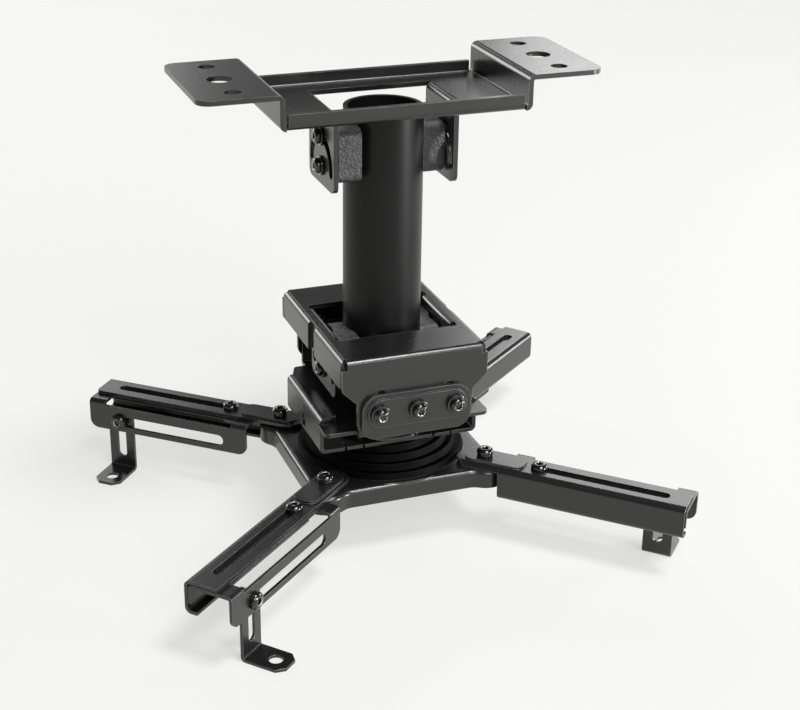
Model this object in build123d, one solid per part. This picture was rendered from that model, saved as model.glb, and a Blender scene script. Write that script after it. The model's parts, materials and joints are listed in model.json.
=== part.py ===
from build123d import *
import math
import os

# A projector ceiling mount in folded sheet steel. Sizes are in millimetres. +X runs along the
# ceiling plate, +Y is the back and +Z is up. The origin is the middle of the plate's ears, on the
# face that meets the ceiling, straight above the tube.

# Clearances
slip = 0.3
fit = 0.05
overcut = 1.0

# Screws, washers and nuts
screw_r = 3.0
head_r = 5.25
head_high = 3.3
head_rim = 1.2
head_slope = 1.85
small_head_r = 4.75
socket_across = 4.0
socket_deep = 2.0
washer_r = 6.0
washer_thick = 1.2
nut_across = 10.0
nut_high = 5.0
screw_tail = 1.0
slot_wide = 6.6

# Tube and the saddle blocks that grip it
tube_r = 24.0
tube_wall = 2.5
tube_above_pivot = 33.0
tube_below_pivot = 9.0
pivot_span = 131.0
block_out = 11.3
block_hug = 2.5
block_scoop_r = 21.0
block_scoop_deep = 2.5
block_reach = 23.5
block_back = 10.0
block_high = 32.0
block_shift = 1.5
block_corner = 5.0

# Cheeks, the ears that the tube tilts between
cheek_edge = 1.9
cheek_corner = 5.0
lock_arc = 18.0
lock_half = 90.0
bend = 1.0

# Ceiling plate
plate_thick = 3.0
plate_half_long = 121.4
plate_half_wide = 43.7
plate_corner = 8.0
tray_half = 73.0
tray_deep = 18.0
lip_half_long = 71.0
lip_high = 6.6
lip_relief = 1.2
bolt_x = 98.4
bolt_y = 29.35
bolt_hole_r = 5.0
middle_hole_r = 7.5
tray_window_half = 26.0
window_corner = 2.0
top_pivot_drop = 56.0
top_cheek_below = 11.6

# Box bracket, hung on the tube's lower end
box_thick = 2.5
box_head_room = 0.6
box_half_wide = 61.0
box_above_pivot = 30.2
box_cheek_below = 11.6
box_window_half = 29.5
box_side_high = 18.7
box_side_notch_half = 6.0
box_side_notch_deep = 2.3
box_side_corner = 3.0
box_face_square = 19.2
box_face_taper = 9.0
box_face_half = 36.5
box_face_high = 49.2
box_face_corner = 8.0
box_taper_corner = 3.0
corner_relief_r = 2.0

# Roll joint between the box and the slide plate
roll_drop = 4.0
roll_arc = 24.0
roll_slot_half = 25.0
clamp_thick = 2.5
clamp_half = 34.5
clamp_above = 11.7
clamp_below = 17.0
clamp_corner_top = 11.0
clamp_corner_low = 9.0
stadium_rise = 1.8
stadium_half_long = 31.5
stadium_half_high = 9.1
roll_washer_thick = 2.4

# Slide plate, captured in the channel
slide_thick = 2.5
slide_drop = 16.7
slide_half = 48.3
slide_wall_above = 11.0
wing_half = 53.0
wing_end = 50.0
wing_corner = 4.0
slide_notch_corner = 1.0
slide_back_corner = 3.0
slide_back_half = 42.0
slide_back_end = 50.0

# Swivel channel
channel_thick = 2.5
channel_half_long = 51.5
channel_half_wide = 34.0
channel_high = 24.1
channel_lip_inner = 40.0
channel_lip_corner = 4.0
channel_bend = 1.0
pin_hole_r = 4.0
pin_hole_up = 8.0
slit_wide = 1.2
slit_deep = 7.0
slit_places = (23.0, 34.5)

# Swivel bolt, its nut, disc and washer
bolt_r = 5.0
bolt_head_across = 16.0
bolt_head_high = 6.4
bolt_nut_high = 8.0
bolt_tail = 3.0
disc_r = 35.5
disc_thick = 2.0
under_washer_r = 15.0
under_washer_thick = 2.0

# Spider, a pressed plate with a stepped boss and a turned-down rim
spider_thick = 2.5
spider_half_long = 60.0
spider_half_wide = 57.0
spider_ear_x = 52.5
spider_ear_y = 48.0
spider_ear_r = 13.5
spider_blend = 12.0
spider_rim = 11.5
spider_edge = 3.0
spider_inner_edge = 0.8
boss_high = 15.2
boss_top_r = 36.0
boss_tread = 3.6
boss_riser = 1.6
boss_steps = 4

# Arms. Along an arm, distances run outwards from its pivot and sideways to its left.
sheet = 2.0
arm_bend = 2.0
rail_left = 10.0
rail_right = -12.0
rail_in = -17.0
rail_out = 131.5
rail_taper = 6.0
rail_corner = 2.0
rail_wall_in = 13.0
rail_high = 21.1
rail_lip = 8.0
rail_roll_down = 4.3
rail_slot_in = 36.0
rail_slot_out = 115.8
panel_in = -12.0
panel_out = 27.0
panel_half = 7.9
panel_rise = 1.5
panel_corner = 5.9
spacer_r = 8.5
spacer_thick = 1.0
pivot_washer_r = 4.9
pivot_washer_thick = 1.5

slider_in = 16.0
slider_out = 132.0
slider_right = -9.3
slider_flange = 12.0
slider_high = 20.5
slider_tab_in = 27.0
slider_tab_out = 120.0
slider_bend = 1.0
slider_corner = 6.0
slider_relief_r = 1.2
side_slot_in = 36.5
side_slot_out = 110.0
side_slot_down = 13.0
side_slot_wide = 7.6
side_gap = 5.0

leg_wide = 18.5
leg_top_down = 5.5
leg_high = 44.0
foot_long = 27.1
foot_chamfer = 4.5
foot_hole_r = 4.0
foot_hole_out = 17.4
leg_bend = 1.0
leg_corner = 2.0
leg_slot_wide = 6.2
leg_travel = 24.0

# Each arm's name, the side of its pivot in X and in Y, and the way that it points in degrees
arms = (
    ("front_left", -1, -1, -138.5),
    ("front_right", 1, -1, -44.0),
    ("back_right", 1, 1, 39.0),
    ("back_left", -1, 1, 139.0),
)

# Places that follow from the sizes
top_pivot_z = -top_pivot_drop
low_pivot_z = top_pivot_z - pivot_span
tube_top_z = top_pivot_z + tube_above_pivot
tube_low_z = low_pivot_z - tube_below_pivot
cheek_face = tube_r + block_out + slip
cheek_half = lock_arc + slot_wide / 2 + cheek_edge
tray_z = -tray_deep
tilt_head_out = cheek_face + box_thick + slip + washer_thick + head_high
box_half_long = tilt_head_out + box_head_room + box_thick
box_top_z = low_pivot_z + box_above_pivot
roll_z = low_pivot_z - roll_drop
slide_top_z = roll_z - slide_drop
slide_low_z = slide_top_z - slide_thick
channel_top_z = slide_top_z + slip + channel_thick
channel_low_z = channel_top_z - channel_high
boss_top_z = channel_low_z - slip
spider_z = boss_top_z - boss_high
rail_z = spider_z + spacer_thick + slip + sheet
panel_top_z = rail_z + panel_rise
slider_z = rail_z - sheet - slip
leg_left_in = rail_left + slip + side_gap
leg_left_out = leg_left_in + sheet
side_in = leg_left_out + slip
side_out = side_in + sheet
leg_screw_z = slider_z - side_slot_down
leg_low_z = slider_z - leg_top_down - leg_high
roll_wall_out = box_half_wide - box_thick - slip
clamp_in = box_half_wide + slip
clamp_out = clamp_in + clamp_thick


def slab(x, y, z):
    """A block between three pairs of limits."""
    middle = [(low + high) / 2 for low, high in (x, y, z)]
    return Pos(*middle) * Box(x[1] - x[0], y[1] - y[0], z[1] - z[0])


def rod(start, end, radius):
    """A cylinder from one point to another."""
    way = Vector(*end) - Vector(*start)
    base = Plane(origin=start, z_dir=way)
    return base * Cylinder(radius, way.length, align=(Align.CENTER, Align.CENTER, Align.MIN))


def hexagon(start, end, across):
    """A six-sided bar from one point to another."""
    way = Vector(*end) - Vector(*start)
    face = Plane(origin=start, z_dir=way) * RegularPolygon(across / 2, 6, major_radius=False)
    return extrude(face, amount=way.length)


def facing_x(x):
    """The plane at x that faces +X, with Y to its right and Z up."""
    return Plane(origin=(x, 0, 0), x_dir=(0, 1, 0), z_dir=(1, 0, 0))


def facing_front(y):
    """The plane at y that faces the front, with X to its right and Z up."""
    return Plane(origin=(0, y, 0), x_dir=(1, 0, 0), z_dir=(0, -1, 0))


def outline(points, radii):
    """A flat face with straight sides and a radius at each corner."""
    return make_face(FilletPolyline(*points, radius=radii, close=True))


def right_of(points):
    """The unit way that points to the right of each stretch of a path."""
    path = [Vector(*point) for point in points]
    ways = [(after - before).normalized() for before, after in zip(path, path[1:])]
    return [Vector(way.Y, -way.X) for way in ways]


def other_face(points, thick):
    """The path that runs one thickness to the right of another."""
    rights = right_of(points)
    path = [Vector(*point) for point in points]
    other = [path[0] + rights[0] * thick]
    for point, first, second in zip(path[1:-1], rights, rights[1:]):
        other.append(point + (first + second) * (thick / (1 + first.dot(second))))
    other.append(path[-1] + rights[-1] * thick)
    return other


def folded(points, thick, inner):
    """The section of a folded sheet: points follow one face and the sheet lies on their right."""
    rights = right_of(points)
    near = [0]
    far = [0]
    for first, second in zip(rights, rights[1:]):
        turns_right = first.X * second.Y - first.Y * second.X < 0
        near.append(inner + thick if turns_right else inner)
        far.append(inner if turns_right else inner + thick)
    near.append(0)
    far.append(0)
    path = [Vector(*point) for point in points]
    return outline(path + other_face(points, thick)[::-1], near + far[::-1])


def sharp_folded(points, thick):
    """The same section with sharp folds."""
    path = [Vector(*point) for point in points]
    return make_face(Polyline(*path, *other_face(points, thick)[::-1], close=True))


def along_x(face, x0, x1):
    """A section in Y and Z, run from x0 to x1."""
    return extrude(facing_x(x0) * face, amount=x1 - x0)


def along_y(face, y0, y1):
    """A section in X and Z, run from y0 to y1."""
    return extrude(facing_front(y1) * face, amount=y1 - y0)


def along_z(face, z0, z1):
    """A plan in X and Y, run from z0 to z1."""
    return extrude(Plane.XY.offset(z0) * face, amount=z1 - z0)


def arc_slot(radius, middle, half, wide):
    """A slot along an arc about the origin, an angle to each side of its middle."""
    return SlotArc(CenterArc((0, 0), radius, middle - half, 2 * half), wide)


def straight_slot(start, end, wide):
    """A slot between the centres of its two round ends."""
    return SlotCenterToCenter(
        (Vector(*end) - Vector(*start)).length,
        wide,
        rotation=math.degrees(math.atan2(end[1] - start[1], end[0] - start[0])),
    ).moved(Pos((start[0] + end[0]) / 2, (start[1] + end[1]) / 2))


def screw(seat, tip, rim_r=head_r):
    """A button-head screw whose head rests on the seat and whose shank ends at the tip."""
    out = (Vector(*seat) - Vector(*tip)).normalized()
    base = Plane(origin=seat, z_dir=out)
    low = (Align.CENTER, Align.CENTER, Align.MIN)
    head = Cylinder(rim_r, head_rim, align=low)
    head += Pos(0, 0, head_rim) * Cone(rim_r, rim_r - head_slope, head_high - head_rim, align=low)
    socket = RegularPolygon(socket_across / 2, 6, major_radius=False)
    head -= Pos(0, 0, head_high - socket_deep) * extrude(socket, amount=socket_deep)
    return base * head + rod(tip, seat, screw_r)


def ring(start, end, outer, inner):
    """A washer or a round disc with a hole."""
    return rod(start, end, outer) - rod(start, end, inner)


def nut(start, end, across, hole):
    """A hexagon nut with a round hole."""
    return hexagon(start, end, across) - rod(start, end, hole)


def cheeks(top, low, pivot_z, thick):
    """Two ears folded down from the sides of an opening, each with a pivot hole and an arc slot."""
    fold = cheek_face + bend + thick
    section = folded([(cheek_face, low), (cheek_face, top), (fold + thick, top)], thick, bend)
    ear = along_y(section, -cheek_half, cheek_half)
    ear = fillet(ear.edges().filter_by(Axis.X).group_by(Axis.Z)[0], cheek_corner)
    reach = cheek_face + 2 * thick
    ear -= rod((0, 0, pivot_z), (reach, 0, pivot_z), screw_r + fit)
    slot = Pos(0, pivot_z) * arc_slot(lock_arc, 90, lock_half, slot_wide)
    ear -= along_x(slot, 0, reach)
    return ear + mirror(ear, Plane.YZ)


def window(half_wide, thick, top):
    """The opening that the cheeks are folded from."""
    half_long = cheek_face + bend + thick
    plan = RectangleRounded(2 * half_long, 2 * half_wide, window_corner)
    return along_z(plan, top - 2 * thick, top + thick)


def make_ceiling_plate():
    """The folded plate: two ears, a tray between them with front and back lips, and two cheeks."""
    floor_low = tray_z - plate_thick
    tray_section = folded(
        [
            (-plate_half_long, 0),
            (-tray_half, 0),
            (-tray_half, tray_z),
            (tray_half, tray_z),
            (tray_half, 0),
            (plate_half_long, 0),
        ],
        plate_thick,
        bend,
    )
    plate = along_y(tray_section, -plate_half_wide, plate_half_wide)
    plan = RectangleRounded(2 * plate_half_long, 2 * plate_half_wide, plate_corner)
    plate &= along_z(plan, floor_low, 0)

    lip_face = plate_half_wide - plate_thick
    lip_cut = plate_half_wide - plate_thick - bend
    notch_half = lip_half_long + lip_relief
    for side in (-1, 1):
        edge = sorted((side * lip_cut, side * (plate_half_wide + overcut)))
        plate -= slab((-notch_half, notch_half), edge, (floor_low - overcut, tray_z + bend))
    lip_top = tray_z + lip_high
    lip_section = folded(
        [(-lip_face, lip_top), (-lip_face, tray_z), (lip_face, tray_z), (lip_face, lip_top)],
        plate_thick,
        bend,
    )
    plate += along_x(lip_section, -lip_half_long, lip_half_long)

    plate -= window(tray_window_half, plate_thick, tray_z)
    plate += cheeks(tray_z, top_pivot_z - top_cheek_below, top_pivot_z, plate_thick)
    for x in (-bolt_x, bolt_x):
        plate -= rod((x, 0, -plate_thick), (x, 0, 0), middle_hole_r)
        for y in (-bolt_y, bolt_y):
            plate -= rod((x, y, -plate_thick), (x, y, 0), bolt_hole_r)
    return plate


def make_tube():
    """The tube, drilled for the tips of the tilt screws."""
    tube = ring((0, 0, tube_low_z), (0, 0, tube_top_z), tube_r, tube_r - tube_wall)
    for z in tilt_screw_heights():
        tube -= rod((-tube_r, 0, z), (tube_r, 0, z), screw_r)
    return tube


def tilt_screw_heights():
    """Heights of the pivot and lock screws, at the top and at the lower end."""
    return (top_pivot_z, top_pivot_z + lock_arc, low_pivot_z, low_pivot_z + lock_arc)


def make_saddle_block(pivot_z, side):
    """A cast block with a seat that fits the tube; the right one is the left one turned over."""
    middle_z = pivot_z + lock_arc / 2 - side * block_shift
    y_limits = sorted((side * block_reach, -side * block_back))
    low_z = middle_z - block_high / 2
    high_z = middle_z + block_high / 2
    corners = [(y_limits[0], low_z), (y_limits[1], low_z), (y_limits[1], high_z), (y_limits[0], high_z)]
    shape = outline(corners, [block_corner] * len(corners))
    inner = tube_r - block_hug
    outer = tube_r + block_out
    x_limits = sorted((side * inner, side * outer))
    block = along_x(shape, x_limits[0], x_limits[1])
    block -= rod((0, 0, low_z - overcut), (0, 0, high_z + overcut), tube_r)
    scoop_x = side * (outer - block_scoop_deep + block_scoop_r)
    block -= rod((scoop_x, 0, low_z - overcut), (scoop_x, 0, high_z + overcut), block_scoop_r)
    for z in (pivot_z, pivot_z + lock_arc):
        block -= rod((0, 0, z), (side * (outer + overcut), 0, z), screw_r)
    return block


def make_tilt_hardware(pivot_z, thick):
    """Four screws and four washers on the outside of a pair of cheeks."""
    washer_in = cheek_face + thick + slip
    seat = washer_in + washer_thick
    tip = tube_r - tube_wall + slip
    screws = []
    washers = []
    for side in (-1, 1):
        for z in (pivot_z, pivot_z + lock_arc):
            screws.append(screw((side * seat, 0, z), (side * tip, 0, z), small_head_r))
            washers.append(ring((side * washer_in, 0, z), (side * seat, 0, z), washer_r, screw_r))
    return screws, washers


def make_box_bracket():
    """The folded box: a top with an opening and cheeks, two short sides and two tall faces."""
    fold = box_thick + bend
    side_section = folded(
        [
            (-box_half_long, box_top_z - box_side_high),
            (-box_half_long, box_top_z),
            (box_half_long, box_top_z),
            (box_half_long, box_top_z - box_side_high),
        ],
        box_thick,
        bend,
    )
    box = along_y(side_section, fold - box_half_wide, box_half_wide - fold)
    box = fillet(box.edges().filter_by(Axis.X).group_by(Axis.Z)[0], box_side_corner)
    notch_in = box_half_long - box_side_notch_deep
    for side in (-1, 1):
        box -= slab(
            sorted((side * notch_in, side * (box_half_long + overcut))),
            (-box_side_notch_half, box_side_notch_half),
            (box_top_z - box_side_high, box_top_z),
        )

    face_start = box_top_z - fold - corner_relief_r
    face_section = folded(
        [
            (-box_half_wide, face_start),
            (-box_half_wide, box_top_z),
            (box_half_wide, box_top_z),
            (box_half_wide, face_start),
        ],
        box_thick,
        bend,
    )
    box += along_x(face_section, fold - box_half_long, box_half_long - fold)
    square_z = box_top_z - box_face_square
    taper_z = square_z - box_face_taper
    low_z = box_top_z - box_face_high
    left = [
        (-box_half_long, face_start),
        (-box_half_long, square_z),
        (-box_face_half, taper_z),
        (-box_face_half, low_z),
    ]
    right = [(-x, z) for x, z in reversed(left)]
    left_radii = [0, box_taper_corner, box_taper_corner, box_face_corner]
    face = outline(left + right, left_radii + left_radii[::-1])
    face -= Pos(0, roll_z) * Circle(screw_r + fit)
    for middle in (0, 180):
        face -= Pos(0, roll_z) * arc_slot(roll_arc, middle, roll_slot_half, slot_wide)
    box += along_y(face, -box_half_wide, box_thick - box_half_wide)
    box += along_y(face, box_half_wide - box_thick, box_half_wide)
    for x in (fold - box_half_long, box_half_long - fold):
        for y in (fold - box_half_wide, box_half_wide - fold):
            box -= rod((x, y, face_start), (x, y, box_top_z + overcut), corner_relief_r)

    box -= window(box_window_half, box_thick, box_top_z)
    box += cheeks(box_top_z, low_pivot_z - box_cheek_below, low_pivot_z, box_thick)
    return box


def make_clamp_plate(side):
    """A plate on the outside of a box face, with a raised stadium round its three screws."""
    top = roll_z + clamp_above
    low = roll_z - clamp_below
    corners = [(-clamp_half, low), (clamp_half, low), (clamp_half, top), (-clamp_half, top)]
    radii = [clamp_corner_low] * 2 + [clamp_corner_top] * 2
    plate = outline(corners, radii)
    raised = SlotOverall(2 * stadium_half_long, 2 * stadium_half_high)
    pressed = SlotOverall(2 * (stadium_half_long - clamp_thick), 2 * (stadium_half_high - clamp_thick))
    holes = [Pos(x, roll_z) * Circle(screw_r) for x in (-roll_arc, 0, roll_arc)]
    clamp = along_y(plate, clamp_in, clamp_out)
    clamp += along_y(Pos(0, roll_z) * raised, clamp_out, clamp_out + stadium_rise)
    clamp -= along_y(Pos(0, roll_z) * pressed, clamp_in, clamp_in + stadium_rise)
    for hole in holes:
        clamp -= along_y(hole, clamp_in, clamp_out + stadium_rise)
    return clamp if side > 0 else mirror(clamp, Plane.XZ)


def make_roll_hardware():
    """Three screws, washers and nuts through each clamp plate, box face and upright wall."""
    washer_in = clamp_out + stadium_rise
    seat = washer_in + roll_washer_thick
    nut_out = roll_wall_out - slide_thick
    nut_in = nut_out - nut_high
    screws = []
    washers = []
    nuts = []
    for side in (-1, 1):
        for x in (-roll_arc, 0, roll_arc):
            tip = side * (nut_in - screw_tail)
            screws.append(screw((x, side * seat, roll_z), (x, tip, roll_z), small_head_r))
            washers.append(
                ring((x, side * washer_in, roll_z), (x, side * seat, roll_z), washer_r, screw_r)
            )
            nuts.append(
                nut((x, side * nut_in, roll_z), (x, side * nut_out, roll_z), nut_across, screw_r)
            )
    return screws, washers, nuts


def make_slide_plate():
    """The plate that the channel slides onto, with wings at the front and a wall at each end."""
    wall_top = roll_z + slide_wall_above
    section = folded(
        [
            (roll_wall_out, wall_top),
            (roll_wall_out, slide_low_z),
            (-roll_wall_out, slide_low_z),
            (-roll_wall_out, wall_top),
        ],
        slide_thick,
        bend,
    )
    plate = along_x(section, -clamp_half, clamp_half)
    tab_end = roll_wall_out - slide_thick - bend
    front_stop = channel_half_wide + slip
    right = [
        (clamp_half, -tab_end),
        (clamp_half, -wing_end),
        (wing_half, -wing_end),
        (wing_half, -front_stop),
        (slide_half, -front_stop),
        (slide_half, channel_half_wide),
        (slide_back_half, slide_back_end),
        (clamp_half, slide_back_end),
        (clamp_half, tab_end),
    ]
    left = [(-x, y) for x, y in reversed(right)]
    stop_radii = [slide_notch_corner] * 2
    back_radii = [slide_back_corner] * 2
    right_radii = [0, 0, wing_corner] + stop_radii + back_radii + [0, 0]
    plan = outline(right + left, right_radii + right_radii[::-1])
    plate += along_z(plan, slide_low_z, slide_top_z)
    for x in (-roll_arc, 0, roll_arc):
        plate -= rod((x, -roll_wall_out, roll_z), (x, roll_wall_out, roll_z), screw_r)
    return plate


def make_swivel_channel():
    """The channel under the slide plate: a floor, two sides and two lips turned inwards."""
    section = folded(
        [
            (channel_lip_inner, channel_top_z),
            (channel_half_long, channel_top_z),
            (channel_half_long, channel_low_z),
            (-channel_half_long, channel_low_z),
            (-channel_half_long, channel_top_z),
            (-channel_lip_inner, channel_top_z),
        ],
        channel_thick,
        channel_bend,
    )
    channel = along_y(section, -channel_half_wide, channel_half_wide)
    for side in (-1, 1):
        lip = channel.edges().filter_by(Axis.Z).filter_by_position(
            Axis.X, side * channel_lip_inner - slip, side * channel_lip_inner + slip
        )
        channel = fillet(lip, channel_lip_corner)
    pin_z = channel_low_z + pin_hole_up
    channel -= rod((-channel_half_long, 0, pin_z), (channel_half_long, 0, pin_z), pin_hole_r)
    channel -= rod((0, 0, channel_low_z), (0, 0, channel_low_z + channel_thick), bolt_r)
    for place in slit_places:
        for x in (-place, place):
            across = (x - slit_wide / 2, x + slit_wide / 2)
            for end in (-1, 1):
                deep = sorted((end * (channel_half_wide - slit_deep), end * (channel_half_wide + overcut)))
                channel -= slab(across, deep, (channel_low_z, channel_low_z + channel_thick))
    return channel


def make_swivel_hardware():
    """The bolt that the spider turns on, with its nut, the disc above and the washer below."""
    disc_low = channel_low_z + channel_thick
    disc_top = disc_low + disc_thick
    nut_top = disc_top + bolt_nut_high
    washer_top = boss_top_z - spider_thick - slip
    washer_low = washer_top - under_washer_thick
    head_low = washer_low - bolt_head_high
    bolt = rod((0, 0, washer_low), (0, 0, nut_top + bolt_tail), bolt_r)
    bolt += hexagon((0, 0, head_low), (0, 0, washer_low), bolt_head_across)
    disc = ring((0, 0, disc_low), (0, 0, disc_top), disc_r, bolt_r)
    top_nut = nut((0, 0, disc_top), (0, 0, nut_top), bolt_head_across, bolt_r)
    washer = ring((0, 0, washer_low), (0, 0, washer_top), under_washer_r, bolt_r)
    return bolt, disc, top_nut, washer


def spider_plan(inset):
    """The spider's outline, or the same taken in all round."""
    plan = Rectangle(2 * (spider_half_long - inset), 2 * (spider_half_wide - inset))
    for x in (-spider_ear_x, spider_ear_x):
        for y in (-spider_ear_y, spider_ear_y):
            plan += Pos(x, y) * Circle(spider_ear_r - inset)
    return fillet(plan.vertices(), spider_blend + inset)


def make_spider():
    """The pressed plate that carries the arms, with a rim all round and a stepped boss."""
    low = spider_z - spider_rim
    body = along_z(spider_plan(0), low, spider_z)
    body = fillet(body.faces().sort_by(Axis.Z)[-1].edges(), spider_edge)
    hollow = along_z(spider_plan(spider_thick), low, spider_z - spider_thick)
    hollow = fillet(hollow.faces().sort_by(Axis.Z)[-1].edges(), spider_inner_edge)
    body -= hollow

    rise = boss_high / boss_steps
    points = [(0, boss_top_z)]
    radius = boss_top_r
    for step in range(boss_steps):
        top = boss_top_z - step * rise
        points += [(radius, top), (radius + boss_riser, top - rise)]
        radius += boss_riser + boss_tread
    end = radius
    points.append((end, spider_z))
    boss = revolve(Plane.XZ * sharp_folded(points, spider_thick), Axis.Z)
    hole_r = points[-2][0]
    body -= rod((0, 0, spider_z - spider_thick), (0, 0, spider_z), hole_r)
    body += boss
    body -= rod((0, 0, boss_top_z - spider_thick), (0, 0, boss_top_z), bolt_r + fit)
    for x in (-spider_ear_x, spider_ear_x):
        for y in (-spider_ear_y, spider_ear_y):
            body -= rod((x, y, spider_z - spider_thick), (x, y, spider_z), screw_r)
    return body


def make_rail():
    """The upper half of an arm: a slotted top with a raised panel, a wall and a turned-in lip."""
    low = rail_z - rail_high
    wall_section = folded(
        [
            (rail_right + rail_lip, low),
            (rail_right, low),
            (rail_right, rail_z),
            (rail_left, rail_z),
        ],
        sheet,
        arm_bend,
    )
    rail = along_x(wall_section, rail_wall_in, rail_out)
    top_section = folded(
        [(rail_right, rail_z - rail_roll_down), (rail_right, rail_z), (rail_left, rail_z)],
        sheet,
        arm_bend,
    )
    rail += along_x(top_section, rail_in, rail_wall_in)
    roll_low = rail_z - rail_roll_down
    rail -= slab((rail_in, rail_wall_in), (rail_right, rail_left), (roll_low, spider_z + slip))
    plan = outline(
        [
            (rail_in, rail_right + rail_taper),
            (rail_in + rail_taper, rail_right),
            (rail_out, rail_right),
            (rail_out, rail_left),
            (rail_in + rail_taper, rail_left),
            (rail_in, rail_left - rail_taper),
        ],
        [rail_corner, rail_corner, 0, rail_corner, rail_corner, rail_corner],
    )
    rail &= along_z(plan, low, rail_z)

    middle = (panel_in + panel_out) / 2
    long = panel_out - panel_in
    raised = RectangleRounded(long, 2 * panel_half, panel_corner)
    pressed = RectangleRounded(long - 2 * sheet, 2 * (panel_half - sheet), panel_corner - sheet)
    rail += along_z(Pos(middle, 0) * raised, rail_z, panel_top_z)
    rail -= along_z(Pos(middle, 0) * pressed, rail_z - sheet, panel_top_z - sheet)
    rail -= rod((0, 0, panel_top_z - sheet), (0, 0, panel_top_z), screw_r + fit)
    slot = straight_slot((rail_slot_in, 0), (rail_slot_out, 0), slot_wide)
    rail -= along_z(slot, rail_z - sheet, rail_z)
    return rail


def make_slider():
    """The half of an arm that slides under the rail and carries the leg on its slotted side."""
    section = folded(
        [
            (slider_right, slider_z - slider_flange),
            (slider_right, slider_z),
            (side_out, slider_z),
            (side_out, slider_z - slider_high),
        ],
        sheet,
        slider_bend,
    )
    slider = along_x(section, slider_in, slider_out)
    slider = fillet(slider.edges().filter_by(Axis.Y).group_by(Axis.Z)[0], slider_corner)
    window_low = slider_z - sheet - slider_bend
    slider -= slab(
        (slider_tab_in, slider_tab_out),
        (rail_left, side_out),
        (window_low, slider_z),
    )
    for x in (slider_tab_in, slider_tab_out):
        slider -= rod((x, rail_left, slider_z - sheet), (x, rail_left, slider_z), slider_relief_r)
    slot = straight_slot((side_slot_in, leg_screw_z), (side_slot_out, leg_screw_z), side_slot_wide)
    slider -= along_y(slot, side_in, side_out)
    slider -= rod((rail_slot_in, 0, slider_z - sheet), (rail_slot_in, 0, slider_z), screw_r)
    return slider


def make_leg():
    """The leg: a slotted upright and a foot that turns outwards, with a hole for the load."""
    foot_left = leg_left_in + foot_long
    top = slider_z - leg_top_down
    section = folded([(foot_left, leg_low_z), (leg_left_in, leg_low_z), (leg_left_in, top)], sheet, leg_bend)
    leg = along_x(section, side_slot_out - leg_wide / 2, side_slot_out + leg_wide / 2)
    leg = fillet(leg.edges().filter_by(Axis.Y).group_by(Axis.Z)[-1], leg_corner)
    leg = chamfer(leg.edges().filter_by(Axis.Z).group_by(Axis.Y)[-1], foot_chamfer)
    low_screw_z = leg_screw_z - leg_travel
    slot = straight_slot((side_slot_out, leg_screw_z), (side_slot_out, low_screw_z), leg_slot_wide)
    leg -= along_y(slot, leg_left_in, leg_left_out)
    hole_y = leg_left_in + foot_hole_out
    leg -= rod((side_slot_out, hole_y, leg_low_z), (side_slot_out, hole_y, leg_low_z + sheet), foot_hole_r)
    return leg


def make_arm_hardware():
    """The screw that locks the slider in the rail, the one that holds the leg, and their nuts."""
    seat_z = rail_z + slip
    nut_top = slider_z - sheet
    nut_low = nut_top - nut_high
    slot_screw = screw((rail_slot_in, 0, seat_z), (rail_slot_in, 0, nut_low - screw_tail))
    slot_nut = nut((rail_slot_in, 0, nut_low), (rail_slot_in, 0, nut_top), nut_across, screw_r)

    x = side_slot_out
    seat = side_out + slip
    nut_left = leg_left_in - slip
    nut_right = nut_left - nut_high
    leg_screw = screw((x, seat, leg_screw_z), (x, nut_right - screw_tail, leg_screw_z))
    leg_nut = nut((x, nut_right, leg_screw_z), (x, nut_left, leg_screw_z), nut_across, screw_r)
    return slot_screw, slot_nut, leg_screw, leg_nut


def make_pivot_hardware():
    """The four screws that the arms swing on, with their nuts, washers and spacers."""
    washer_low = panel_top_z + slip
    seat_z = washer_low + pivot_washer_thick
    nut_top = spider_z - spider_thick
    nut_low = nut_top - nut_high
    screws = []
    nuts = []
    washers = []
    spacers = []
    for name, side_x, side_y, turn in arms:
        x = side_x * spider_ear_x
        y = side_y * spider_ear_y
        screws.append(screw((x, y, seat_z), (x, y, nut_low - screw_tail)))
        nuts.append(nut((x, y, nut_low), (x, y, nut_top), nut_across, screw_r))
        washers.append(ring((x, y, washer_low), (x, y, seat_z), pivot_washer_r, screw_r))
        spacers.append(ring((x, y, spider_z), (x, y, spider_z + spacer_thick), spacer_r, screw_r))
    return screws, nuts, washers, spacers


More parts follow.
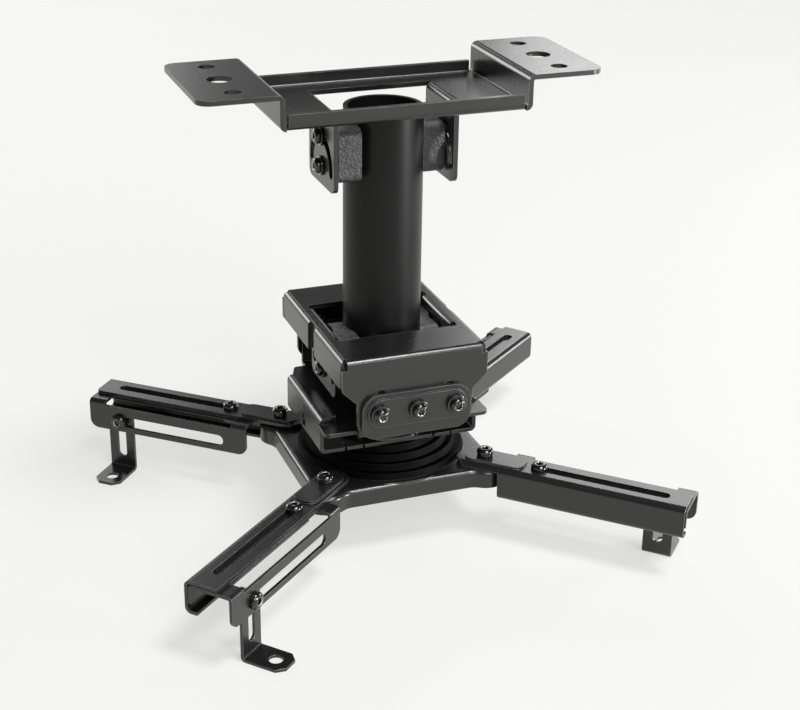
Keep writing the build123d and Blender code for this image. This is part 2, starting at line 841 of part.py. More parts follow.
def make_nodes():
    """Every piece, by the name of its node."""
    nodes = {
        "ceiling_plate": make_ceiling_plate(),
        "tube": make_tube(),
        "box_bracket": make_box_bracket(),
        "clamp_plate_front": make_clamp_plate(-1),
        "clamp_plate_back": make_clamp_plate(1),
        "slide_plate": make_slide_plate(),
        "swivel_channel": make_swivel_channel(),
        "spider": make_spider(),
    }
    for end, pivot_z, thick in (
        ("top", top_pivot_z, plate_thick),
        ("lower", low_pivot_z, box_thick),
    ):
        nodes[f"saddle_block_{end}_left"] = make_saddle_block(pivot_z, -1)
        nodes[f"saddle_block_{end}_right"] = make_saddle_block(pivot_z, 1)
        screws, washers = make_tilt_hardware(pivot_z, thick)
        nodes[f"tilt_screws_{end}"] = Compound(screws)
        nodes[f"tilt_washers_{end}"] = Compound(washers)
    screws, washers, nuts = make_roll_hardware()
    nodes["roll_screws"] = Compound(screws)
    nodes["roll_washers"] = Compound(washers)
    nodes["roll_nuts"] = Compound(nuts)
    bolt, disc, top_nut, washer = make_swivel_hardware()
    nodes["swivel_bolt"] = bolt
    nodes["swivel_disc"] = disc
    nodes["swivel_nut"] = top_nut
    nodes["swivel_washer"] = washer
    screws, nuts, washers, spacers = make_pivot_hardware()
    nodes["arm_pivot_screws"] = Compound(screws)
    nodes["arm_pivot_nuts"] = Compound(nuts)
    nodes["arm_pivot_washers"] = Compound(washers)
    nodes["arm_spacers"] = Compound(spacers)

    slot_screw, slot_nut, leg_screw, leg_nut = make_arm_hardware()
    arm_pieces = {
        "rail": make_rail(),
        "slider": make_slider(),
        "slot_screw": slot_screw,
        "slot_nut": slot_nut,
        "leg": make_leg(),
        "leg_screw": leg_screw,
        "leg_nut": leg_nut,
    }
    for arm, side_x, side_y, turn in arms:
        place = Pos(side_x * spider_ear_x, side_y * spider_ear_y, 0) * Rot(0, 0, turn)
        for piece, shape in arm_pieces.items():
            nodes[f"{piece}_{arm}"] = place * shape
    return nodes


os.makedirs("parts", exist_ok=True)
for node, shape in make_nodes().items():
    export_step(shape, f"parts/{node}.step")
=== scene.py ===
import json
import math

import bmesh
import bpy
from mathutils import Matrix, Vector


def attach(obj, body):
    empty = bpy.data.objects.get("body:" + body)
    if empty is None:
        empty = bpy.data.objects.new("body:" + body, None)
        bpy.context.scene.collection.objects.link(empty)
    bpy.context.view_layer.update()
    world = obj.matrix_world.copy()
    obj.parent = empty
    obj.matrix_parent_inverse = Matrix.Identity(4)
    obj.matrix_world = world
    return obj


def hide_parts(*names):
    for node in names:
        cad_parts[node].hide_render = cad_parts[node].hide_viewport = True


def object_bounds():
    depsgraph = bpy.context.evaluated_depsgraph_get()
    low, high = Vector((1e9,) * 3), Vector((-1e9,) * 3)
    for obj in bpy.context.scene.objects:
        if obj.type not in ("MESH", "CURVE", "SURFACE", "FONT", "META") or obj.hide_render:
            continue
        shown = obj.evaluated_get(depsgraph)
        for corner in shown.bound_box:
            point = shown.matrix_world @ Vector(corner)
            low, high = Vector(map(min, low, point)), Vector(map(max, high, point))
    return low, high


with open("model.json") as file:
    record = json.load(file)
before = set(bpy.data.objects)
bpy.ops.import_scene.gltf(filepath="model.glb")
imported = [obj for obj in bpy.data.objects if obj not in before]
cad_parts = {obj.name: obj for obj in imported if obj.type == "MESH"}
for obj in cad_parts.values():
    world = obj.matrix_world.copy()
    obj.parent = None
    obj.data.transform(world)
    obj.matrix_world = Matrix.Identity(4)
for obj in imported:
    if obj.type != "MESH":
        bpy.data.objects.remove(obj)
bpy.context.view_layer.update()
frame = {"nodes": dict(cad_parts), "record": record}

MM = 0.001


# Shader groups, each built once and placed in every finish that needs it

def new_group(name, inputs, outputs):
    """An empty shader group with named inputs, given as (type, name, value), and outputs."""
    group = bpy.data.node_groups.new(name, "ShaderNodeTree")
    for kind, label, value in inputs:
        socket = group.interface.new_socket(label, in_out="INPUT", socket_type="NodeSocket" + kind)
        socket.default_value = value
    for kind, label in outputs:
        group.interface.new_socket(label, in_out="OUTPUT", socket_type="NodeSocket" + kind)
    group.nodes.new("NodeGroupInput")
    group.nodes.new("NodeGroupOutput")
    return group


def node_in(tree, kind, **settings):
    """A shader node with its settings."""
    node = tree.nodes.new(kind)
    for key, value in settings.items():
        setattr(node, key, value)
    return node


def noise_of_size(group, size, detail):
    """A noise whose grains have the size in millimetres that a group input gives."""
    put = group.nodes["Group Input"]
    place = node_in(group, "ShaderNodeTexCoord")
    scale = node_in(group, "ShaderNodeMath", operation="DIVIDE")
    scale.inputs[0].default_value = 1 / MM
    group.links.new(put.outputs[size], scale.inputs[1])
    noise = node_in(group, "ShaderNodeTexNoise")
    noise.inputs["Detail"].default_value = detail
    group.links.new(place.outputs["Object"], noise.inputs["Vector"])
    group.links.new(scale.outputs[0], noise.inputs["Scale"])
    return noise


def powder_coat_group():
    """Powder coat: a faint pebbled height, and cloudy changes of shade and gloss."""
    group = new_group(
        "powder_coat",
        [("Float", "Pebble Size", 1.0), ("Float", "Cloud Size", 40.0),
         ("Color", "Colour", (0.05, 0.05, 0.05, 1)), ("Float", "Shade Change", 0.15),
         ("Float", "Roughness", 0.4), ("Float", "Roughness Change", 0.06)],
        [("Color", "Colour"), ("Float", "Roughness"), ("Float", "Height")],
    )
    put = group.nodes["Group Input"]
    out = group.nodes["Group Output"]
    pebble = noise_of_size(group, "Pebble Size", detail=3.0)
    group.links.new(pebble.outputs["Fac"], out.inputs["Height"])
    cloud = noise_of_size(group, "Cloud Size", detail=4.0)
    centred = node_in(group, "ShaderNodeMath", operation="SUBTRACT")
    centred.inputs[1].default_value = 0.5
    group.links.new(cloud.outputs["Fac"], centred.inputs[0])
    shade = node_in(group, "ShaderNodeMath", operation="MULTIPLY_ADD")
    shade.inputs[2].default_value = 1.0
    group.links.new(centred.outputs[0], shade.inputs[0])
    group.links.new(put.outputs["Shade Change"], shade.inputs[1])
    tint = node_in(group, "ShaderNodeVectorMath", operation="SCALE")
    group.links.new(put.outputs["Colour"], tint.inputs[0])
    group.links.new(shade.outputs[0], tint.inputs["Scale"])
    group.links.new(tint.outputs[0], out.inputs["Colour"])
    gloss = node_in(group, "ShaderNodeMath", operation="MULTIPLY_ADD")
    group.links.new(centred.outputs[0], gloss.inputs[0])
    group.links.new(put.outputs["Roughness Change"], gloss.inputs[1])
    group.links.new(put.outputs["Roughness"], gloss.inputs[2])
    group.links.new(gloss.outputs[0], out.inputs["Roughness"])
    return group


# How far the rubbed edges and their painted highlight reach in from an edge, the cosines of bend at
# which they start and are full, and the values of the patchy noise at which an edge is plain and fully
# rubbed and lit
wear_and_highlight_reach = 0.55 * MM
wear_and_highlight_starts = 0.995
wear_and_highlight_full = 0.9
patch_plain = 0.3
patch_worn_and_lit = 0.6

# The numbers under which a colour mix keeps its two colours and its result
mix_first = 6
mix_second = 7
mix_result = 2


def edge_wear_and_highlight_group():
    """Edges lightened partly as a rubbed-through coat and partly as a painted highlight: a mask that
    follows the edge and breaks up along it.
    """
    group = new_group(
        "edge_wear_and_highlight",
        [("Float", "Patch Size", 6.0), ("Float", "Amount", 0.5),
         ("Color", "Colour", (0.05, 0.05, 0.05, 1)), ("Color", "Worn And Highlight Colour", (0.2, 0.2, 0.2, 1))],
        [("Color", "Colour"), ("Float", "Mask")],
    )
    put = group.nodes["Group Input"]
    out = group.nodes["Group Output"]
    softened = node_in(group, "ShaderNodeBevel", samples=4)
    softened.inputs["Radius"].default_value = wear_and_highlight_reach
    face = node_in(group, "ShaderNodeNewGeometry")
    alike = node_in(group, "ShaderNodeVectorMath", operation="DOT_PRODUCT")
    group.links.new(softened.outputs["Normal"], alike.inputs[0])
    group.links.new(face.outputs["True Normal"], alike.inputs[1])
    bend = node_in(group, "ShaderNodeMapRange")
    bend.inputs["From Min"].default_value = wear_and_highlight_starts
    bend.inputs["From Max"].default_value = wear_and_highlight_full
    group.links.new(alike.outputs["Value"], bend.inputs["Value"])
    patch = noise_of_size(group, "Patch Size", detail=5.0)
    broken = node_in(group, "ShaderNodeMapRange")
    broken.inputs["From Min"].default_value = patch_plain
    broken.inputs["From Max"].default_value = patch_worn_and_lit
    group.links.new(patch.outputs["Fac"], broken.inputs["Value"])
    worn_and_lit = node_in(group, "ShaderNodeMath", operation="MULTIPLY")
    group.links.new(bend.outputs["Result"], worn_and_lit.inputs[0])
    group.links.new(broken.outputs["Result"], worn_and_lit.inputs[1])
    mask = node_in(group, "ShaderNodeMath", operation="MULTIPLY", use_clamp=True)
    group.links.new(worn_and_lit.outputs[0], mask.inputs[0])
    group.links.new(put.outputs["Amount"], mask.inputs[1])
    blend = node_in(group, "ShaderNodeMix", data_type="RGBA")
    group.links.new(mask.outputs[0], blend.inputs["Factor"])
    group.links.new(put.outputs["Colour"], blend.inputs[mix_first])
    group.links.new(put.outputs["Worn And Highlight Colour"], blend.inputs[mix_second])
    group.links.new(blend.outputs[mix_result], out.inputs["Colour"])
    group.links.new(mask.outputs[0], out.inputs["Mask"])
    return group


powder_coat = powder_coat_group()
edge_wear_and_highlight = edge_wear_and_highlight_group()


def coat_finish(name, coat_values, wear_and_highlight_values, bump, bump_distance, constants):
    """A material: a powder coat with rubbed edges and painted edge highlights over it."""
    material = bpy.data.materials.new(name)
    material.use_nodes = True
    tree = material.node_tree
    shader = tree.nodes["Principled BSDF"]
    for label, value in constants.items():
        shader.inputs[label].default_value = value
    coat = node_in(tree, "ShaderNodeGroup", node_tree=powder_coat)
    for label, value in coat_values.items():
        coat.inputs[label].default_value = value
    wear_and_highlight = node_in(tree, "ShaderNodeGroup", node_tree=edge_wear_and_highlight)
    for label, value in wear_and_highlight_values.items():
        wear_and_highlight.inputs[label].default_value = value
    tree.links.new(coat.outputs["Colour"], wear_and_highlight.inputs["Colour"])
    tree.links.new(wear_and_highlight.outputs["Colour"], shader.inputs["Base Color"])
    tree.links.new(coat.outputs["Roughness"], shader.inputs["Roughness"])
    relief = node_in(tree, "ShaderNodeBump")
    relief.inputs["Strength"].default_value = bump
    relief.inputs["Distance"].default_value = bump_distance
    tree.links.new(coat.outputs["Height"], relief.inputs["Height"])
    tree.links.new(relief.outputs["Normal"], shader.inputs["Normal"])
    return material


def coated_sheet():
    """Satin black powder coat on the folded sheets."""
    return coat_finish(
        "coated_sheet",
        {"Colour": (0.009, 0.009, 0.0093, 1), "Pebble Size": 0.6, "Cloud Size": 30.0,
         "Shade Change": 0.3, "Roughness": 0.27, "Roughness Change": 0.07},
        # The pale edge colour here is partly rubbed coat and partly a painted highlight for the bright
        # lines along cut edges and bends
        {"Patch Size": 14.0, "Amount": 0.7, "Worn And Highlight Colour": (0.26, 0.26, 0.265, 1)},
        bump=0.14,
        bump_distance=0.1 * MM,
        constants={"Specular IOR Level": 0.66},
    )


def smooth_tube():
    """Smooth satin black on the tube."""
    return coat_finish(
        "smooth_tube",
        {"Colour": (0.004, 0.004, 0.0042, 1), "Pebble Size": 0.8, "Cloud Size": 40.0,
         "Shade Change": 0.3, "Roughness": 0.36, "Roughness Change": 0.08},
        {"Patch Size": 5.0, "Amount": 0.3, "Worn And Highlight Colour": (0.12, 0.12, 0.125, 1)},
        bump=0.06,
        bump_distance=0.1 * MM,
        constants={"Specular IOR Level": 0.22},
    )


def grainy_casting():
    """Cast dark grey on the saddle blocks, grainy from its mould."""
    return coat_finish(
        "grainy_casting",
        {"Colour": (0.04, 0.04, 0.041, 1), "Pebble Size": 1.5, "Cloud Size": 3.2,
         "Shade Change": 2.6, "Roughness": 0.44, "Roughness Change": 0.4},
        {"Patch Size": 4.0, "Amount": 0.4, "Worn And Highlight Colour": (0.16, 0.16, 0.165, 1)},
        bump=1.0,
        bump_distance=0.7 * MM,
        constants={"Specular IOR Level": 0.5},
    )


def gloss_hardware():
    """Gloss black on the screws, washers and nuts."""
    return coat_finish(
        "gloss_hardware",
        {"Colour": (0.005, 0.005, 0.005, 1), "Pebble Size": 1.2, "Cloud Size": 5.0,
         "Shade Change": 0.4, "Roughness": 0.13, "Roughness Change": 0.06},
        {"Patch Size": 3.0, "Amount": 0.25, "Worn And Highlight Colour": (0.14, 0.14, 0.145, 1)},
        bump=0.04,
        bump_distance=0.1 * MM,
        constants={"Specular IOR Level": 0.6, "Coat Weight": 0.3, "Coat Roughness": 0.06},
    )


def rubbed_steel():
    """Bare steel on the rim of each socket, where the key has rubbed the black away."""
    return coat_finish(
        "rubbed_steel",
        {"Colour": (0.5, 0.5, 0.49, 1), "Pebble Size": 0.5, "Cloud Size": 2.0,
         "Shade Change": 0.5, "Roughness": 0.3, "Roughness Change": 0.2},
        {"Patch Size": 2.0, "Amount": 0.2, "Worn And Highlight Colour": (0.7, 0.7, 0.69, 1)},
        bump=0.05,
        bump_distance=0.05 * MM,
        constants={"Metallic": 0.85},
    )


def painted_shade_boss():
    """Painted shade on the spider's boss: near black with little reflection, for the shade that falls
    under the channel.
    """
    return coat_finish(
        "painted_shade_boss",
        {"Colour": (0.001, 0.001, 0.001, 1), "Pebble Size": 0.6, "Cloud Size": 20.0,
         "Shade Change": 0.5, "Roughness": 0.5, "Roughness Change": 0.1},
        {"Patch Size": 14.0, "Amount": 0.5, "Worn And Highlight Colour": (0.03, 0.03, 0.03, 1)},
        bump=0.1,
        bump_distance=0.1 * MM,
        constants={"Specular IOR Level": 0.04},
    )


finishes = {
    "sheet": coated_sheet(),
    "tube": smooth_tube(),
    "casting": grainy_casting(),
    "hardware": gloss_hardware(),
}
socket_finish = rubbed_steel()

# How far each finish's edges are rounded, in millimetres
edge_round = {"sheet": 0.35, "tube": 0.3, "casting": 1.2, "hardware": 0.25}
weld_reach = 0.001 * MM
flat_within = math.radians(0.5)
edge_from = math.radians(32)


def round_edges(piece, width):
    """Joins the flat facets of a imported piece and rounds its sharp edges."""
    weld = piece.modifiers.new("weld", "WELD")
    weld.merge_threshold = weld_reach
    flat = piece.modifiers.new("flat", "DECIMATE")
    flat.decimate_type = "DISSOLVE"
    flat.angle_limit = flat_within
    flat.delimit = {"MATERIAL"}
    edge = piece.modifiers.new("edge", "BEVEL")
    edge.width = width
    edge.segments = 3
    edge.limit_method = "ANGLE"
    edge.angle_limit = edge_from
    edge.use_clamp_overlap = True
    edge.harden_normals = False
    for face in piece.data.polygons:
        face.use_smooth = True
    lie = piece.modifiers.new("lie", "WEIGHTED_NORMAL")
    lie.keep_sharp = True
    lie.weight = 100


def dress_nodes():
    """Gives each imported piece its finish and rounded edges."""
    slot_of = {row["node"]: row["material_slot"] for row in frame["record"]["subparts"]}
    for name, piece in frame["nodes"].items():
        kind = slot_of[name]
        piece.data.materials.clear()
        piece.data.materials.append(finishes[kind])
        round_edges(piece, edge_round[kind] * MM)


# The boss lies inside this radius and above this height, in millimetres
boss_r = 54.0
boss_foot_z = -244.3


def paint_shade_on_boss():
    """Puts the painted shade on the faces of the spider's boss."""
    mesh = frame["nodes"]["spider"].data
    mesh.materials.append(painted_shade_boss())
    for face in mesh.polygons:
        centre = face.center / MM
        if centre.z > boss_foot_z and centre.xy.length < boss_r:
            face.material_index = 1


dress_nodes()
paint_shade_on_boss()


# Screws, washers and nuts, turned and threaded as the real ones are. Sizes are in millimetres.

around = 48
screw_r = 3.0
thread_pitch = 1.0
thread_deep = 0.45
thread_starts = 0.3
rows_a_pitch = 4
tip_taper = 0.6
head_high = 3.3
head_rim = 1.0
head_crown_r = 2.9
dome_steps = 8
foot_edge = 0.3
foot_edge_in = 0.1
foot_edge_up = 0.08
socket_across = 4.0
socket_deep = 2.0
socket_point = 1.2
socket_point_deep = 0.3
socket_chamfer = 0.3
socket_rim = 0.45
socket_chamfer_row = 2
arm_head_r = 5.25
small_head_r = 4.75
washer_edge = 0.25
thick_washer_edge = 0.3
washer_edge_share = 0.3
nut_across = 10.0
nut_high = 5.0
nut_face_share = 0.96
nut_slope = 0.55
nut_steps = 4
nut_bore_edge = 0.4
same_point = 0.0005 * MM
crease_from = math.radians(40)

# Where they sit: "in" is measured from the mount's middle, and "low" is the underside's height
tilt_pivots = {"top": -56.0, "lower": -187.0}
lock_up = 18.0
tilt_tip = 21.8
tilt_washer_in = {"top": 38.9, "lower": 38.4}
tilt_washer_thick = 1.2
tilt_washer_r = 6.0
roll_z = -191.0
roll_apart = 24.0
roll_washer_in = 65.6
roll_washer_thick = 2.4
roll_nut_in = 50.7
roll_tip = 49.7
pivot_x = 52.5
pivot_y = 48.0
pivot_washer_low = -239.4
pivot_washer_thick = 1.5
pivot_washer_r = 4.9
pivot_nut_low = -252.0
slot_seat = -240.9
slot_out = 36.0
slot_nut_low = -250.5
leg_out = 110.0
leg_seat = 19.9
leg_nut_right = 10.0
leg_z = -256.5
tail = 1.0
slot_screw_spin = 19
leg_screw_spin = 8
leg_nut_spin = 30

# Each arm's side in x and y, and its turn in degrees
arms = {
    "front_left": (-1, -1, -138.5),
    "front_right": (1, -1, -44.0),
    "back_right": (1, 1, 39.0),
    "back_left": (-1, 1, 139.0),
}


def turned_row(radius, z):
    """A round row of points."""
    turns = [2 * math.pi * step / around for step in range(around)]
    return [Vector((radius * math.cos(turn), radius * math.sin(turn), z)) for turn in turns]


def hex_row(across, z, round_r=None):
    """A six-sided row of points, cut off at a radius if one is given."""
    row = []
    for step in range(around):
        turn = 2 * math.pi * step / around
        within = (turn % (math.pi / 3)) - math.pi / 6
        radius = across / 2 / math.cos(within)
        if round_r is not None:
            radius = min(radius, round_r)
        row.append(Vector((radius * math.cos(turn), radius * math.sin(turn), z)))
    return row


def thread_rows(radius, top, low, pitch, deep):
    """Rows down a threaded shank, with a chamfer at its end."""
    rows = []
    count = max(2, int((top - low) / pitch * rows_a_pitch))
    for index in range(count + 1):
        z = top + (low - top) * index / count
        ends = min(1.0, (top - z) / pitch, (z - low) / pitch)
        row = []
        for step in range(around):
            turn = 2 * math.pi * step / around
            phase = (z / pitch - step / around) % 1.0
            cut = deep * abs(2 * phase - 1) * ends
            taper = tip_taper * deep * max(0.0, 1 - (z - low) / pitch)
            size = radius - cut - taper
            row.append(Vector((size * math.cos(turn), size * math.sin(turn), z)))
        rows.append(row)
    return rows


def screw_rows(rim_r, long):
    """A domed head with a six-sided socket, and its threaded shank."""
    rows = [
        hex_row(socket_across - socket_point, head_high - socket_deep - socket_point_deep),
        hex_row(socket_across, head_high - socket_deep),
        hex_row(socket_across, head_high - socket_chamfer),
        turned_row(socket_across / 2 + socket_rim, head_high),
        turned_row(head_crown_r, head_high),
    ]
    for step in range(1, dome_steps + 1):
        turn = math.pi / 2 * step / dome_steps
        radius = head_crown_r + (rim_r - head_crown_r) * math.sin(turn)
        rows.append(turned_row(radius, head_rim + (head_high - head_rim) * math.cos(turn)))
    rows.append(turned_row(rim_r, foot_edge))
    rows.append(turned_row(rim_r - foot_edge_in, foot_edge_up))
    rows.append(turned_row(rim_r - foot_edge, 0))
    rows.append(turned_row(screw_r, 0))
    rows += thread_rows(screw_r, -thread_starts, -long, thread_pitch, thread_deep)
    return rows


def ring_rows(outer, inner, low, high, edge):
    """A washer with rounded edges."""
    eased = edge * washer_edge_share
    return [
        turned_row(inner, low + edge),
        turned_row(inner + eased, low + eased),
        turned_row(inner + edge, low),
        turned_row(outer - edge, low),
        turned_row(outer - eased, low + eased),
        turned_row(outer, low + edge),
        turned_row(outer, high - edge),
        turned_row(outer - eased, high - eased),
        turned_row(outer - edge, high),
        turned_row(inner + edge, high),
        turned_row(inner + eased, high - eased),
        turned_row(inner, high - edge),
        turned_row(inner, low + edge),
    ]


def nut_rows(across, hole, low, high):
    """A six-sided nut with its corners turned down at both faces."""
    face_r = across / 2 * nut_face_share
    corner_r = across / 2 / math.cos(math.pi / 6)
    bore = nut_bore_edge
    rows = [turned_row(hole, low + bore), turned_row(hole + bore, low), turned_row(face_r, low)]
    for step in range(1, nut_steps + 1):
        radius = face_r + (corner_r - face_r) * step / nut_steps
        rows.append(hex_row(across, low + (radius - face_r) * nut_slope, radius))
    for step in range(nut_steps, 0, -1):
        radius = face_r + (corner_r - face_r) * step / nut_steps
        rows.append(hex_row(across, high - (radius - face_r) * nut_slope, radius))
    rows += [turned_row(face_r, high), turned_row(hole + bore, high), turned_row(hole, high - bore)]
    rows.append(turned_row(hole, low + bore))
    return rows


def turned_piece(name, shapes, node, body, closed_ends):
    """One piece from rows of points at several places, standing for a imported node."""
    work = bmesh.new()
    for rows, place in shapes:
        rings = [[work.verts.new(place @ (point * MM)) for point in row] for row in rows]
        for level, (near, far) in enumerate(zip(rings, rings[1:])):
            for index in range(around):
                after = (index + 1) % around
                face = work.faces.new((near[index], near[after], far[after], far[index]))
                if closed_ends and level == socket_chamfer_row:
                    face.material_index = 1
        if closed_ends:
            work.faces.new(rings[0][::-1])
            work.faces.new(rings[-1])
    bmesh.ops.remove_doubles(work, verts=work.verts, dist=same_point)
    bmesh.ops.recalc_face_normals(work, faces=work.faces)
    mesh = bpy.data.meshes.new(name)
    work.to_mesh(mesh)
    work.free()
    for face in mesh.polygons:
        face.use_smooth = True
    mesh.set_sharp_from_angle(angle=crease_from)
    mesh.materials.append(finishes["hardware"])
    if closed_ends:
        mesh.materials.append(socket_finish)
    piece = bpy.data.objects.new(name, mesh)
    bpy.context.collection.objects.link(piece)
    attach(piece, body)
    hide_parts(node)


def facing(point, way, spin=0.0):
    """The place of a turned part whose own up is a way out from a point, both in millimetres."""
    turn = Vector(way).to_track_quat("Z", "Y").to_matrix().to_4x4()
    return Matrix.Translation(Vector(point) * MM) @ turn @ Matrix.Rotation(math.radians(spin), 4, "Z")


# The odd numbers in each spin only leave every socket turned by its own angle, in degrees

def make_tilt_hardware():
    """The screws and washers on the outside of both pairs of cheeks."""
    for end, pivot_z in tilt_pivots.items():
        washer_in = tilt_washer_in[end]
        seat = washer_in + tilt_washer_thick
        screws = []
        washers = []
        for side in (-1, 1):
            way = (side, 0, 0)
            for z in (pivot_z, pivot_z + lock_up):
                spin = 17 + 23 * side + z
                rows = screw_rows(small_head_r, seat - tilt_tip)
                screws.append((rows, facing((side * seat, 0, z), way, spin)))
                rows = ring_rows(tilt_washer_r, screw_r, 0, tilt_washer_thick, washer_edge)
                washers.append((rows, facing((side * washer_in, 0, z), way)))
        turned_piece(f"domed_tilt_screws_{end}", screws, f"tilt_screws_{end}", "drop_tube", True)
        turned_piece(f"round_tilt_washers_{end}", washers, f"tilt_washers_{end}", "drop_tube", False)


def make_roll_hardware():
    """The screws, washers and nuts of both clamp plates."""
    seat = roll_washer_in + roll_washer_thick
    screws = []
    washers = []
    nuts = []
    for side in (-1, 1):
        way = (0, side, 0)
        for x in (-roll_apart, 0, roll_apart):
            spin = 11 + x * 1.7 + 9 * side
            rows = screw_rows(small_head_r, seat - roll_tip)
            screws.append((rows, facing((x, side * seat, roll_z), way, spin)))
            rows = ring_rows(tilt_washer_r, screw_r, 0, roll_washer_thick, thick_washer_edge)
            washers.append((rows, facing((x, side * roll_washer_in, roll_z), way)))
            rows = nut_rows(nut_across, screw_r, 0, nut_high)
            nuts.append((rows, facing((x, side * roll_nut_in, roll_z), way, spin)))
    turned_piece("domed_roll_screws", screws, "roll_screws", "slide", True)
    turned_piece("round_roll_washers", washers, "roll_washers", "slide", False)
    turned_piece("turned_roll_nuts", nuts, "roll_nuts", "slide", False)


def make_pivot_hardware():
    """The screws, washers and nuts that the arms swing on."""
    seat = pivot_washer_low + pivot_washer_thick
    screws = []
    washers = []
    nuts = []
    up = (0, 0, 1)
    for side_x, side_y, turn in arms.values():
        x = side_x * pivot_x
        y = side_y * pivot_y
        rows = screw_rows(arm_head_r, seat - pivot_nut_low + tail)
        screws.append((rows, facing((x, y, seat), up, turn * 1.3)))
        rows = ring_rows(pivot_washer_r, screw_r, 0, pivot_washer_thick, washer_edge)
        washers.append((rows, facing((x, y, pivot_washer_low), up)))
        rows = nut_rows(nut_across, screw_r, 0, nut_high)
        nuts.append((rows, facing((x, y, pivot_nut_low), up, turn)))
    turned_piece("domed_pivot_screws", screws, "arm_pivot_screws", "spider", True)
    turned_piece("round_pivot_washers", washers, "arm_pivot_washers", "spider", False)
    turned_piece("turned_pivot_nuts", nuts, "arm_pivot_nuts", "spider", False)


def make_arm_hardware():
    """Each arm's two screws and their nuts."""
    up = (0, 0, 1)
    out = (0, 1, 0)
    for arm, (side_x, side_y, turn) in arms.items():
        place = Matrix.Translation(Vector((side_x * pivot_x, side_y * pivot_y, 0)) * MM)
        place = place @ Matrix.Rotation(math.radians(turn), 4, "Z")
        rows = screw_rows(arm_head_r, slot_seat - slot_nut_low + tail)
        slot_screw = [(rows, place @ facing((slot_out, 0, slot_seat), up, slot_screw_spin))]
        turned_piece(f"domed_slot_screw_{arm}", slot_screw, f"slot_screw_{arm}", f"slider_{arm}", True)
        rows = nut_rows(nut_across, screw_r, 0, nut_high)
        slot_nut = [(rows, place @ facing((slot_out, 0, slot_nut_low), up))]
        turned_piece(f"turned_slot_nut_{arm}", slot_nut, f"slot_nut_{arm}", f"slider_{arm}", False)
        rows = screw_rows(arm_head_r, leg_seat - leg_nut_right + tail)
        leg_screw = [(rows, place @ facing((leg_out, leg_seat, leg_z), out, leg_screw_spin))]
        turned_piece(f"domed_leg_screw_{arm}", leg_screw, f"leg_screw_{arm}", f"carriage_{arm}", True)
        rows = nut_rows(nut_across, screw_r, 0, nut_high)
        leg_nut = [(rows, place @ facing((leg_out, leg_nut_right, leg_z), out, leg_nut_spin))]
        turned_piece(f"turned_leg_nut_{arm}", leg_nut, f"leg_nut_{arm}", f"carriage_{arm}", False)


make_tilt_hardware()
make_roll_hardware()
make_pivot_hardware()
make_arm_hardware()


# Camera, lamps and backdrop

camera_place = Vector((-317.65, -873.38, 234.32)) * MM
camera_right = Vector((0.9374, -0.3479, 0.0139))
camera_up = Vector((0.1309, 0.3891, 0.9118))
camera_way = Vector((0.3226, 0.8530, -0.4103))
camera_lens = 73.08
sensor_wide = 36.0
floor_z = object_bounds()[0][2]
floor_half = 6.0
floor_light = 0.575
room_light = 0.12
band_light = 0.78
band_full = 0.1
band_fades_out = 0.2


def set_camera():
    """The camera where the photograph was taken from."""
    data = bpy.data.cameras.new("camera")
    data.sensor_width = sensor_wide
    data.lens = camera_lens
    camera = bpy.data.objects.new("camera", data)
    turn = Matrix((camera_right, camera_up, -camera_way)).transposed()
    camera.matrix_world = Matrix.Translation(camera_place) @ turn.to_4x4()
    bpy.context.collection.objects.link(camera)
    bpy.context.scene.camera = camera


def add_lamp(name, place, aim, size, power):
    """A soft lamp with a rectangular face that points from its place to what it lights."""
    data = bpy.data.lights.new(name, "AREA")
    data.shape = "RECTANGLE"
    data.size, data.size_y = size
    data.energy = power
    lamp = bpy.data.objects.new(name, data)
    way = Vector(aim) - Vector(place)
    lamp.location = place
    lamp.rotation_euler = way.to_track_quat("-Z", "Y").to_euler()
    bpy.context.collection.objects.link(lamp)


def add_sun(name, towards, spread, strength):
    """Even light from one side, with soft shadows; towards is the way to the light."""
    data = bpy.data.lights.new(name, "SUN")
    data.angle = math.radians(spread)
    data.energy = strength
    lamp = bpy.data.objects.new(name, data)
    lamp.rotation_euler = (-Vector(towards)).to_track_quat("-Z", "Y").to_euler()
    bpy.context.collection.objects.link(lamp)


def seen_rays(tree):
    """One for camera, glossy and transmission rays, nought for light that falls on the object."""
    path = node_in(tree, "ShaderNodeLightPath")
    seen = node_in(tree, "ShaderNodeMath", operation="ADD")
    tree.links.new(path.outputs["Is Camera Ray"], seen.inputs[0])
    tree.links.new(path.outputs["Is Glossy Ray"], seen.inputs[1])
    shown = node_in(tree, "ShaderNodeMath", operation="ADD", use_clamp=True)
    tree.links.new(seen.outputs[0], shown.inputs[0])
    tree.links.new(path.outputs["Is Transmission Ray"], shown.inputs[1])
    return shown.outputs[0]


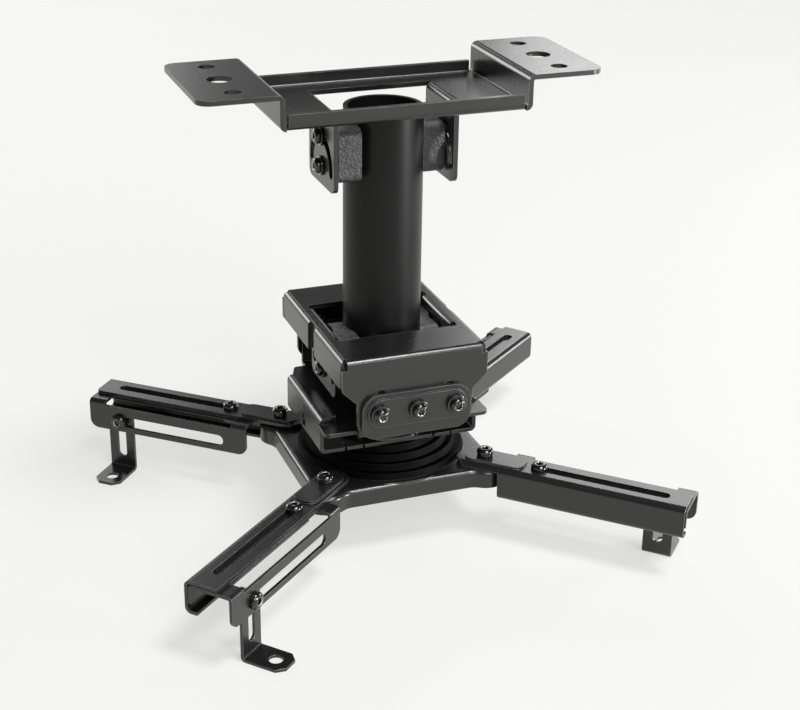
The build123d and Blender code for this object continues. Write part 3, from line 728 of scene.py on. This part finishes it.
def set_floor():
    """A pale floor that keeps the shadow."""
    material = bpy.data.materials.new("pale_floor")
    material.use_nodes = True
    tree = material.node_tree
    shader = tree.nodes["Principled BSDF"]
    shader.inputs["Base Color"].default_value = (0.27, 0.27, 0.262, 1)
    shader.inputs["Roughness"].default_value = 1.0
    shader.inputs["Specular IOR Level"].default_value = 0.0
    shader.inputs["Emission Color"].default_value = (1, 1, 0.96, 1)
    glow = node_in(tree, "ShaderNodeMath", operation="MULTIPLY")
    glow.inputs[1].default_value = floor_light
    tree.links.new(seen_rays(tree), glow.inputs[0])
    tree.links.new(glow.outputs[0], shader.inputs["Emission Strength"])
    mesh = bpy.data.meshes.new("floor")
    shape = bmesh.new()
    bmesh.ops.create_grid(shape, x_segments=1, y_segments=1, size=floor_half)
    shape.to_mesh(mesh)
    shape.free()
    floor = bpy.data.objects.new("floor", mesh)
    floor.location.z = floor_z
    mesh.materials.append(material)
    bpy.context.collection.objects.link(floor)


def set_room():
    """A dim even room, with a pale band round the horizon behind the floor."""
    world = bpy.data.worlds.new("studio")
    world.use_nodes = True
    bpy.context.scene.world = world
    tree = world.node_tree
    back = tree.nodes["Background"]
    back.inputs["Color"].default_value = (1, 1, 0.98, 1)
    place = node_in(tree, "ShaderNodeTexCoord")
    split = node_in(tree, "ShaderNodeSeparateXYZ")
    tree.links.new(place.outputs["Generated"], split.inputs[0])
    band = node_in(tree, "ShaderNodeMapRange")
    band.inputs["From Min"].default_value = band_fades_out
    band.inputs["From Max"].default_value = band_full
    tree.links.new(split.outputs["Z"], band.inputs["Value"])
    shown = node_in(tree, "ShaderNodeMath", operation="MULTIPLY")
    tree.links.new(band.outputs["Result"], shown.inputs[0])
    tree.links.new(seen_rays(tree), shown.inputs[1])
    strength = node_in(tree, "ShaderNodeMath", operation="MULTIPLY_ADD")
    strength.inputs[1].default_value = band_light - room_light
    strength.inputs[2].default_value = room_light
    tree.links.new(shown.outputs[0], strength.inputs[0])
    tree.links.new(strength.outputs[0], back.inputs["Strength"])


set_camera()
set_floor()
set_room()
middle = (0, 0, -0.15)
add_sun("key", (0.08, -1.0, 0.7), spread=34, strength=1.7)
add_lamp("overhead_window", (0.75, -1.3, 2.8), middle, size=(0.9, 0.9), power=85)
add_lamp("front_strip", (1.5, -1.3, -0.14), middle, size=(0.3, 0.25), power=32)
add_lamp("back_window", (1.62, 2.3, 1.1), middle, size=(1.0, 0.9), power=12.5)
add_lamp("back_strip", (0.18, 2.5, 0.95), middle, size=(0.5, 0.7), power=2.4)
add_lamp("right_window", (1.4, 0.1, -0.05), middle, size=(0.5, 0.4), power=7)
add_lamp("left_window", (-0.95, 1.9, 0.45), middle, size=(0.8, 0.8), power=13)

bpy.context.scene.view_settings.view_transform = "Standard"
